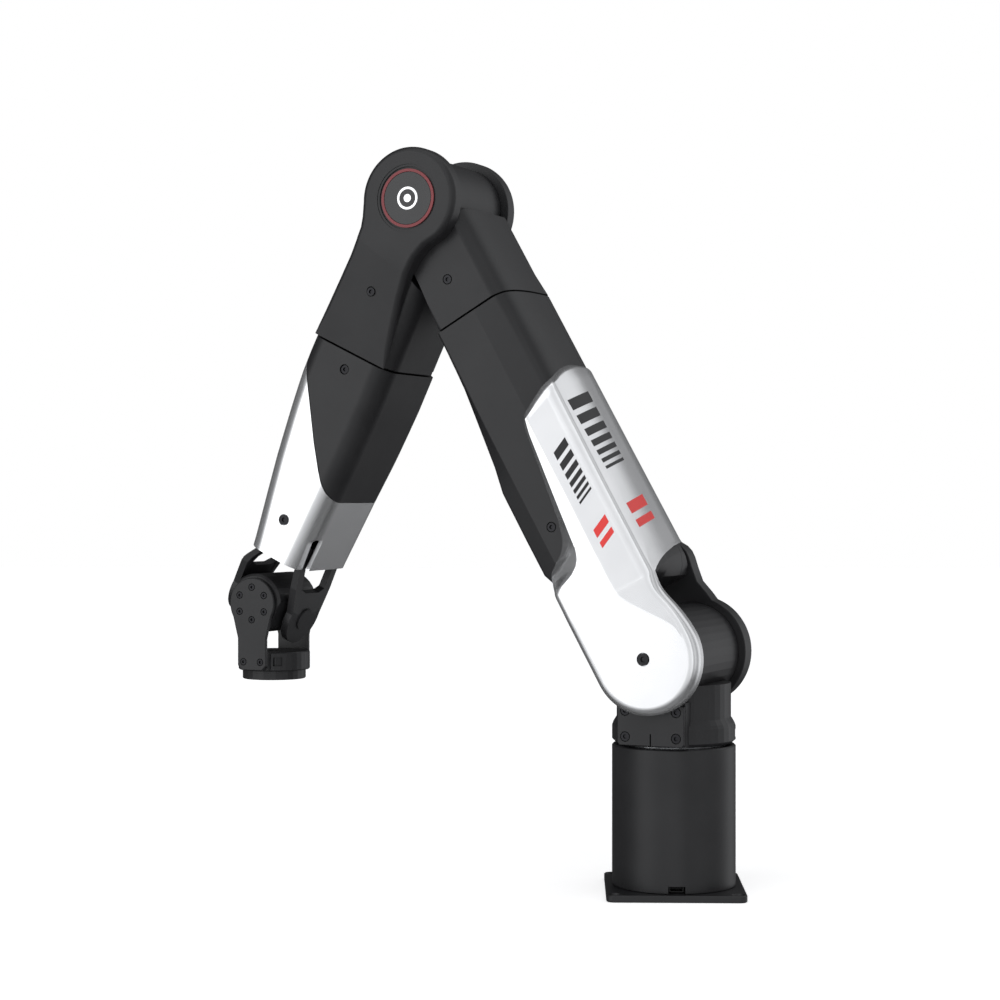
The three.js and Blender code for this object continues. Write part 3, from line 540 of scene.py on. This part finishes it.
def arch_cutter():
    """What the opening between the shoulder cheeks takes away: level inside, rising at the right."""
    stations = []
    for depth in ARCH_DEPTHS:
        rise = ARCH_EDGE(depth) - ARCH_FLOOR
        corners = [(-60, -60), (60, -60), (60, ARCH_FLOOR + rise + 60), (26.8, ARCH_FLOOR + rise)]
        corners += [(25.2, ARCH_FLOOR + rise * 0.62), (22.4, ARCH_FLOOR + rise * 0.25), (18.5, ARCH_FLOOR)]
        corners += [(-60, ARCH_FLOOR)]
        stations.append([(x, depth, z) for x, z in corners])
    count = len(stations[0])
    faces = ring_faces(len(stations), count)
    faces.append(tuple(range(count)))
    faces.append(tuple(range((len(stations) - 1) * count, len(stations) * count)))
    return mesh_object("arch", [point for station in stations for point in station], faces)


def arm_body(name):
    """The whole black body, with its opening; the shell and the back cover are cut from it."""
    body = loft(name, [(w, arm_section(w)) for w in ARM_STATIONS])
    return combine(body, [arch_cutter()])


upper_shell = combine(arm_body("upper_arm_shell_skin"), [
    block("behind", (-80, 80), (ARM_SPLIT - SEAM_HALF, 90), (0, 400)),
    screw_seat(ARM_SCREW[0], -ARM_DEPTH, ARM_SCREW[1], SHELL_SCREW_RADIUS),
])
settle(upper_shell, UPPER, "upper_arm", "black_paint", ["upper_arm_shell"])
back_cover = combine(arm_body("upper_arm_back_skin"), [
    block("before", (-80, 80), (-90, ARM_SPLIT + SEAM_HALF), (0, 400)),
])
settle(back_cover, UPPER, "upper_arm", "black_paint", ["upper_arm_back_cover"])

# ---------------------------------------------------------------- silver cover
COVER_LEFT = table([
    (0, -32.4), (55, -32.2), (62, -31.8), (69, -31.2), (72.5, -30.2), (75.5, -27), (77.5, -23.5),
    (80, -20), (83.4, -17.3), (87, -15.6), (91, -14.4), (96.4, -13), (140.4, -6.8), (158, -4.2),
])
WHITE_LEFT = table([
    (0, -27), (57, -27), (60, -24.5), (61.5, -20), (63, -16), (66, -11.6), (69, -9.2), (72, -8),
    (75.6, -7.1), (90, -6.1), (106, -5.1), (132, -3.3), (149, -2.1), (158, -0.4),
])
BEVEL_FOOT = table([(0, -43), (57, -43), (62, -41.5), (69, -38), (75, -33.6), (200, -33.6)])
LEFT_FOOT = table([(0, CHEEK_BACK), (46, CHEEK_BACK), (50, -34.4), (69, -34.4), (75, -32.8), (200, -32.8)])
FACET_LEFT = table([
    (0, 26.4), (5, 26.2), (8, 25.4), (12, 23), (17, 19.4), (21, 16.2), (26, 12.6), (32, 8), (38, 5),
    (42, 3.8), (50, 3.2), (100, 2.2), (150, 0.6), (170, 0.2),
])
FACET_RIGHT = table([
    (0, 27), (8, 27.1), (14, 26.2), (20, 24.8), (27, 22.8), (33, 21.4), (42, 20.7), (100, 18.8),
    (150, 17.2), (176, 16.4),
])
FACET_DROP = table([(0, 0), (6, 0.3), (20, 1.7), (42, 3), (200, 3)])
RIGHT_EDGE = table([
    (0, 32.4), (6, 32.1), (12, 31.2), (18, 29.9), (22, 28.8), (26, 27.6), (30, 26.7), (34, 26.3),
    (38, 26.8), (42, 27.5), (46, 27.5), (60, 27), (100, 25.7), (150, 24.4), (180, 23.8),
])
RIGHT_DROP = table([(0, 5.6), (30, 4.4), (42, 3.2), (200, 3.2)])
WALL_END = table([
    (0, CHEEK_BACK), (42, CHEEK_BACK), (44, -35), (47, -28), (49.5, -20.9), (52, -12), (54, -3),
    (56, 6), (57.5, 16), (59, 26), (200, 26),
])
TOP_LINE = table([(-4.4, 156.5), (-3, 160), (-1, 162), (10.3, 167.7), (17.5, 171), (24, 172.8)])
TOP_WALL = table([(-33, 172.8), (-17, 178.7), (-6, 181), (4.5, 182), (26, 182)])
WALL_STEPS, ARC_STEPS = 8, 5
COVER_STATIONS = [
    0, 3, 6, 9, 12, 15, 18, 21, 24, 27, 30, 33, 36, 38, 40, 41, 42, 43, 44, 45, 46, 47, 48, 49.5, 51,
    52, 53, 54, 55, 56, 57, 58, 59, 60, 61, 62, 63, 64.5, 66, 67.5, 69, 70.5, 72, 73, 74, 75, 76, 77,
    78, 79, 80, 81.5, 83, 85, 87, 90, 95, 100, 110, 120, 130, 140, COVER_TOP,
]
FLAT_SHARES, FACET_SHARES = (0.04, 0.5, 0.96, 1), (0.05, 0.5, 0.95, 1)  # narrow ends keep the flats flat
DISC_TURNS = 48


def wall_point(w, right_edge, depth):
    """The right wall at a depth: it swells to its full width, then rounds off towards the back."""
    swell = math.sin(min((depth - right_edge.y) / WALL_SWELL, 1) * math.pi / 2)
    across = right_edge.x + (max(WALL_WIDEST - right_edge.x, 0) * swell if w > 42 else 0)
    return Vector((across - 1.8 * max((depth - WALL_TURN) / 8, 0) ** 2, depth))


def facet_ends(w):
    """The two edges of the cover's turned facet, and the edge where its right wall begins."""
    face = DISC_FACE + COVER_TILT * max(w - TILT_START, 0)
    left = Vector((FACET_LEFT(w), face))
    right = Vector((FACET_RIGHT(w), face + FACET_DROP(w)))
    return left, right, Vector((RIGHT_EDGE(w), right.y + RIGHT_DROP(w)))


def cover_section(w):
    """The cover's outer face at a height, from its left foot to the end of its right wall."""
    face = DISC_FACE + COVER_TILT * max(w - TILT_START, 0)
    left_foot = Vector((COVER_LEFT(w), LEFT_FOOT(w)))
    left_edge = Vector((COVER_LEFT(w), BEVEL_FOOT(w)))
    white_left = Vector((WHITE_LEFT(w), face))
    facet_left, facet_right, right_edge = facet_ends(w)
    points = [left_foot.lerp(left_edge, k / WALL_STEPS) for k in range(WALL_STEPS + 1)]
    round_share = min(max((66 - w) / 8, 0), 1)
    corner = left_edge.lerp(white_left, 0.5).lerp(Vector((left_edge.x, white_left.y)), round_share)
    points += bend(left_edge, corner, white_left, ARC_STEPS)
    points += [white_left.lerp(facet_left, t) for t in FLAT_SHARES]
    points += [facet_left.lerp(facet_right, t) for t in FACET_SHARES]
    outer = min(w / 46, 1)
    square, eased = Vector((right_edge.x, facet_right.y)), Vector((right_edge.x - 1.2, facet_right.y + 0.5))
    corner = square.lerp(eased, outer)
    points += bend(facet_right, corner, right_edge, ARC_STEPS)
    wall_depth = WALL_END(w) - right_edge.y
    for k in range(1, WALL_STEPS + 1):
        points.append(wall_point(w, right_edge, right_edge.y + wall_depth * k / WALL_STEPS))
    return points


def reach_of(outline, direction):
    """How far a closed outline round the origin lies along a direction."""
    best = 0.0
    for a, b in zip(outline, outline[1:] + outline[:1]):
        side = b - a
        cross = direction.x * side.y - direction.y * side.x
        if abs(cross) < 1e-9:
            continue
        far = (a.x * side.y - a.y * side.x) / cross
        share = (a.x * direction.y - a.y * direction.x) / cross
        if 0 <= share <= 1 and far > best:
            best = far
    return best


def silver_cover():
    """The cover's skin: sections up the arm, a bevelled top down to the body, and the disc's lower half."""
    first = cover_section(0)
    count = len(first)
    rows = [[(p.x, p.y, w) for p in cover_section(w)] for w in COVER_STATIONS]
    top = cover_section(160)
    ends = []
    for p in top:
        wall = p.y > -33 and p.x > 20
        ends.append(TOP_WALL(p.y) if wall else TOP_LINE(p.x))
    skin = arm_section(175)
    for share in (0.4, 0.75, 1.0):
        row = []
        for k in range(count):
            w = COVER_TOP + (ends[k] - TOP_BEVEL - COVER_TOP) * share
            p = cover_section(w)[k]
            row.append((p.x, p.y, w))
        rows.append(row)
    for rise, sink in ((0.45, 0.28), (1.0, 1.0)):
        row = []
        for k in range(count):
            w = ends[k] - TOP_BEVEL * (1 - rise)
            p = cover_section(w)[k]
            foot = p.normalized() * (reach_of(skin, p.normalized()) - 0.1)
            row.append((*p.lerp(foot, sink), w))
        rows.append(row)
    points = [point for row in rows for point in row]
    faces = ring_faces(len(rows), count, closed=False)
    # The lower half of the disc turns the same rim profile about the shoulder axis.
    flat_end = first.index(next(p for p in first if p.x >= FACET_RIGHT(0) - 1e-6))
    rim_points = first[flat_end:]
    base = len(points)
    for i in range(DISC_TURNS + 1):
        angle = math.pi * i / DISC_TURNS
        for p in rim_points:
            points.append((p.x * math.cos(angle), p.y, -p.x * math.sin(angle)))
    size = len(rim_points)
    faces += [tuple(base + k for k in face) for face in ring_faces(DISC_TURNS + 1, size, closed=False)]
    inner = [base + i * size for i in range(DISC_TURNS + 1)]
    on_face = [k for k in range(count) if abs(first[k].y - DISC_FACE) < 1e-6]
    flat = [k for k in on_face if -DISC_FLAT < first[k].x < DISC_FLAT]
    faces.append(tuple(inner + flat))
    return mesh_object("silver_cover_skin", points, faces)


cover = silver_cover()
thickness = cover.modifiers.new("wall", "SOLIDIFY")
thickness.thickness = COVER_THICK
thickness.offset = -1
thickness.use_even_offset = False
cover = combine(cover, [])
cover = combine(cover, [screw_seat(0, DISC_FACE, 0, COVER_SCREW_RADIUS)])
settle(cover, UPPER, "upper_arm", "silver_paint", ["silver_cover"], edge=0.3)


# ---------------------------------------------------------------- printed stripes on the cover
STRIPES = [(131, 5.2), (123.5, 4.4), (117, 3.6), (111.5, 3.0), (106.8, 2.4), (102.8, 1.9), (99.4, 1.4)]
RED_STRIPES = [(79, 5.2), (71.5, 3.6)]


def stripe(name, low, high, spot, slot, look):
    """One slanted bar between two heights; spot gives a point of the surface and the way out of it."""
    points = []
    for k in range(PRINT_STEPS + 1):
        share = k / PRINT_STEPS
        for at in (low, high):
            w = at + PRINT_SKEW * (share - 0.5)
            place, outward = spot(w, share)
            for lift in ((PRINT_LIFT, -PRINT_SINK) if at == low else (-PRINT_SINK, PRINT_LIFT)):
                spot_out = place + outward * lift
                points.append((spot_out.x, spot_out.y, w))
    faces = ring_faces(PRINT_STEPS + 1, 4)
    faces += [(0, 1, 2, 3), tuple(PRINT_STEPS * 4 + k for k in range(4))]
    settle(mesh_object(name, points, faces), UPPER, "upper_arm", slot, edge=0, look=look)


def facet_spot(w, share):
    """A point across the turned facet, and the way out of it."""
    left, right, _ = facet_ends(w)
    along = right - left
    return left.lerp(right, 0.3 + 0.6 * share), Vector((along.y, -along.x)).normalized()


def wall_spot(w, share):
    """A point across the right wall, and the way out of it."""
    edge = facet_ends(w)[2]
    depth = -29 + 27 * share
    near, far = wall_point(w, edge, depth - 0.5), wall_point(w, edge, depth + 0.5)
    along = far - near
    return near.lerp(far, 0.5), Vector((along.y, -along.x)).normalized()


FACES = [("facet", facet_spot, 1.0, 0.0), ("wall", wall_spot, 1.35, -22.0)]
INKS = [(STRIPES, "black_paint", "black_paint", "dark"), (RED_STRIPES, "accent_red", "bright_red", "red")]
for where, spot, stretch, shift in FACES:
    for rows, slot, look, word in INKS:
        for number, (middle, width) in enumerate(rows, 1):
            w, half = middle * stretch + shift, width * stretch / 2
            stripe(f"{where}_stripe_{word}_{number}", w - half, w + half, spot, slot, look)

# ---------------------------------------------------------------- elbow housing
HOUSING_OUTLINE = [
    (-26.4, -90, 1), (27, -90, 1), (27, -17, 9), (12, -22.5, 16), (0, -27.5, 25), (-22.6, -31.8, 12),
    (-22.9, -46, 20),
]
NECK_SECTION = [(-15, -24, 6), (13, -24, 6), (13, 26, 6), (-15, 26, 6)]
ELBOW_DRUM = [(CENTRE, -33), (26, -33), (27, -32), (27, 28.5), (26, HOUSING_BACK), (CENTRE, HOUSING_BACK)]


def elbow_section(back):
    """The housing's section, which carries on from the upper arm's."""
    return rounded([
        (-26, -ARM_DEPTH, 3), (14.8, -ARM_DEPTH, 3), RIGHT_CURVE, (ARM_RIGHT, back, 7), (-26, back, 3),
    ])


def elbow_housing():
    """The black housing above the roll seam, with the neck and the drum between the forearm's cheeks."""
    depths = [(HOUSING_LOW, SEAM_BACK), (-62, HOUSING_BACK), (-40, HOUSING_BACK), (-10, HOUSING_BACK)]
    shell = loft("elbow_housing_skin", [(z, elbow_section(back)) for z, back in depths])
    shell = combine(shell, [prism("outline", rounded(HOUSING_OUTLINE, steps=8), -60, 60)], "INTERSECT")
    neck = loft("neck", [(z, rounded(NECK_SECTION)) for z in (-45, -12)])
    whole = combine(shell, [neck, turned("drum", ELBOW_DRUM)], "UNION")
    return combine(whole, [screw_seat(ELBOW_SCREW[0], -ARM_DEPTH, ELBOW_SCREW[1], SHELL_SCREW_RADIUS)])


settle(elbow_housing(), ELBOW, "elbow", "black_paint", ["elbow_housing"])

# ---------------------------------------------------------------- forearm
FORE_LEFT = table([
    (34, -25.5), (50, -26.5), (80, -29.2), (100, -30.6), (120, -31), (140, -29.6), (160, -27.4),
    (180, -25), (205, -21.2), (230, -17.2), (238, -16.2),
])
FORE_RIGHT = table([
    (34, 26), (70, 27.4), (100, 28.3), (125, 28.6), (145, 28), (165, 27.6), (190, 26.4), (238, 24.4),
])
FORE_BACK = table([(34, 29.6), (100, 29.6), (100.6, 33), (150, 33), (170, 31.5), (190, 30.5), (238, 29)])
FORE_FRONT = table([(34, -32.8), (100, -32.8), (100.6, -33.9), (140, -33.2), (238, -33)])


def fore_section(reach, shrink=0.0):
    """A section of the forearm at a distance from the elbow."""
    left, right = FORE_LEFT(reach) + shrink, FORE_RIGHT(reach) - shrink
    front, back = FORE_FRONT(reach) + shrink, FORE_BACK(reach) - shrink
    return rounded([(left, front, 11), (right, front, 13), (right, back, 9), (left, back, 7)], steps=8)


def fore_tube(name, reaches, shrink=0.0):
    """A length of the forearm through its sections at the given distances."""
    return loft(name, [(-reach, fore_section(reach, shrink)) for reach in reaches])


def arc_points(radius, start, sweep, steps, centre=(0, 0)):
    """Points on an arc, with its start and sweep in degrees."""
    angles = [math.radians(start + sweep * k / steps) for k in range(steps + 1)]
    return [Vector((centre[0] + radius * math.cos(a), centre[1] + radius * math.sin(a))) for a in angles]


def cheek_outline(radius, widest=27.0):
    """A round head with a neck that widens down past the seam."""
    head = arc_points(radius, -26, 232, 60)
    left = [(-24.6, -22), (-23, -28), (-22.6, -36), (-23, -46), (-24.6, -60), (-27, -80), (-30.2, FOOT_Z)]
    right = [(28.4, FOOT_Z), (24, -88), (21.4, -72), (19.4, -56), (18.4, -42), (19.6, -30), (22.6, -21)]
    return head + [Vector(point) for point in left] + [Vector((min(x, widest), z)) for x, z in right]


def below_seam():
    """What lies under the forearm's seam, for cutting."""
    return block("below", (-60, 60), (-60, 60), (-200, SEAM_Z + SEAM_GAP))


def slope_back(shape, before, level, slope):
    """Moves what lies in front of a depth back, in proportion to how far it lies under a level."""
    work = bmesh.new()
    work.from_mesh(shape.data)
    everything = work.verts[:] + work.edges[:] + work.faces[:]
    bmesh.ops.bisect_plane(work, geom=everything, plane_co=(0, 0, -level), plane_no=(0, 0, 1))
    for vertex in work.verts:
        if vertex.co.y < before:
            vertex.co.y += max(-vertex.co.z - level, 0) * slope
    work.to_mesh(shape.data)
    work.free()


def front_cheek():
    """The plate with the badge: flat round the elbow, sloping back towards the seam."""
    plate = dished("forearm_front_cheek_skin", cheek_outline(31), rim(-20, CHEEK_FACE, CHEEK_RIM, 6))
    slope_back(plate, -30, 34, 0.15)
    badge_well = turned("well", [(WELL_RADIUS, -60), (WELL_RADIUS, WELL_FLOOR), (CENTRE, WELL_FLOOR)])
    groove = turned("groove", [(GROOVE_RADIUS, -60), (GROOVE_RADIUS, GROOVE_FLOOR), (CENTRE, GROOVE_FLOOR)])
    back = block("back", (-60, 60), (CHEEK_REAR, 10), (-200, 60))
    seat = screw_seat(-0.4, -39.9, -60.5, SHELL_SCREW_RADIUS)
    return combine(plate, [badge_well, groove, back, seat, below_seam()])


settle(front_cheek(), FORE, "forearm_upper", "black_paint", ["forearm_front_cheek"])

FOLD = [(-34, -36), (-12, -33), (8, -39), (34, -54), (34, -140), (-34, -140)]
upper_housing = fore_tube("forearm_upper_skin", [32, 50, 66, 80, 90, 99.9])
upper_housing = combine(upper_housing, [prism("fold", FOLD[::-1], -60, 60)], "INTERSECT")
upper_housing = combine(upper_housing, [turned("swing", [(32.4, -60), (32.4, 60)])])
settle(upper_housing, FORE, "forearm_upper", "black_paint", ["forearm_upper_housing"])

LOWER_REACHES = [101.1, 112, 125, 135, 145, 155, 165, 180, 190, 205, 220, 232, 238]
SPLIT_LINE = [
    (-50, -86), (-31, -113), (-26, -121), (-20, -130), (-10, -145.5), (0, -161), (10, -174.8),
    (15, -181), (20, -185.6), (25, -188.6), (31, -190.6), (38, -192), (60, -196),
]
MOUTH_SLOT = [(21, -250, 1), (29.5, -250, 1), (29.5, -216, 4), (21, -216, 4)]


def half_outline(upper):
    """The side of the split line that a shell lies on."""
    side = SPLIT_GAP / 2 if upper else -SPLIT_GAP / 2
    line = [(x + side, z + side) for x, z in SPLIT_LINE]
    return (line + [(60, 0), (-60, 0)]) if upper else (line[::-1] + [(-60, -300), (60, -300)])


def fore_lower(name, upper, cutters):
    """One of the two shells under the seam: the tube on one side of the split line, with its cuts."""
    tube = fore_tube(name, LOWER_REACHES)
    tube = combine(tube, [prism("half", half_outline(upper), -60, 60)], "INTERSECT")
    return combine(tube, cutters)


black_lower = fore_lower("forearm_black_skin", True, [screw_seat(0, -33.8, -111.5, SHELL_SCREW_RADIUS)])
settle(black_lower, FORE, "forearm_lower", "black_paint", ["forearm_black_shell"])


def silver_lower():
    """The silver shell: hollow at its mouth, with a slot for the wrist's fork and a slanted end."""
    hollow = fore_tube("hollow", [212, 220, 232, 238.4], MOUTH_WALL)
    slot = prism("slot", rounded(MOUTH_SLOT), -45, -20)
    mouth = block("mouth", (-60, 60), (-60, 60), (-260, -237.9))
    slant = mesh_object("slant", [
        (40, -60, -260), (40, 60, -260), (40, 60, -223), (40, -20, -232),
        (22, -60, -260), (22, 60, -260), (22, 60, -237), (22, -20, -238.2),
    ], [(0, 1, 2, 3), (7, 6, 5, 4), (0, 3, 7, 4), (1, 5, 6, 2), (3, 2, 6, 7), (0, 4, 5, 1)])
    cutters = [hollow, slot, mouth, slant, screw_seat(1.3, -33, -213, MOUTH_SCREW_RADIUS)]
    return fore_lower("forearm_silver_skin", False, cutters)


settle(silver_lower(), FORE, "forearm_lower", "silver_paint", ["forearm_silver_shell"])

# ---------------------------------------------------------------- elbow badge
for name, outer, inner in (("badge_mark_ring", 6.8, 5.4), ("badge_mark_dot", 2.4, CENTRE)):
    front = [(inner, MARK_FRONT), (outer, MARK_FRONT)]
    profile = front + [(outer, MARK_REAR), (inner, MARK_REAR)] + front[:1]
    settle(turned(name, profile, count=64), FORE, "forearm_upper", "silver_paint", edge=0)

# ---------------------------------------------------------------- back cheeks


def far_plate(name, outline, near, far):
    """A plate on the far side, straight from near to far, with a rounded edge that rises beyond that."""
    profile = [(0, near)] + [(depth, far - y) for depth, y in rim(0, -BACK_RIM, BACK_RIM)[1:]]
    return dished(name, outline, profile)


fore_back = far_plate("forearm_back_cheek_skin", cheek_outline(31.8, 20.5), 30.1, 38.3)
settle(combine(fore_back, [below_seam()]), FORE, "forearm_upper", "black_paint", ["forearm_back_cheek"])

SHOULDER_RIGHT = [
    (24.2, 26), (22.2, 35), (23.4, 43), (24.8, 50), (25.0, 54), (24.0, 58), (21.6, 62), (20.4, 72),
    (19.6, 92),
]
SHOULDER_LEFT = [(-23, 80), (-26, 62), (-31, 30)]
outline = arc_points(32.6, 170, 230, 60) + [Vector(point) for point in SHOULDER_RIGHT]
outline += arc_points(19.6, 0, 180, 20, (0, 98)) + [Vector(point) for point in SHOULDER_LEFT]
shoulder_back = far_plate("shoulder_back_cheek_skin", outline, 33.4, 44)
settle(shoulder_back, UPPER, "upper_arm", "black_paint", ["shoulder_back_cheek"])

# ---------------------------------------------------------------- base column
COLUMN = [(33, 4.3), (36, 4.3), (36, 85.2), (35.2, 86), (33, 86), (33, 4.3)]
column = turned("base_column_skin", COLUMN, axis="z")
column = combine(column, [block("port", (-4.8, 4.8), (-40, -30), (0, 8.4))])
settle(column, BASE, "base", "black_paint", ["base_column"], edge=0.25)

# ---------------------------------------------------------------- carried-over pieces
HIDDEN = {name for name, node in NODES.items() if node.hide_render}
EDGED_SLOTS = ("black_paint", "badge")
for name, node in NODES.items():
    if name in HIDDEN:
        continue
    node.data.materials.clear()
    node.data.materials.append(LOOKS[SLOT_OF[name]])
    edge_finish(node, FINE_EDGE if SLOT_OF[name] in EDGED_SLOTS else 0, even=False)

# ---------------------------------------------------------------- floor
bpy.ops.mesh.primitive_plane_add(size=FLOOR_SIZE, location=(0, 0, CAD_BOX[0][2] - FLOOR_DROP))
floor = bpy.context.object
floor.name = "floor"
floor_shader = FLOOR_LOOK.node_tree.nodes["Principled BSDF"]
floor_shader.inputs["Emission Color"].default_value = BACKGROUND
floor_shader.inputs["Emission Strength"].default_value = FLOOR_GLOW
floor.data.materials.append(FLOOR_LOOK)
floor.visible_glossy = False
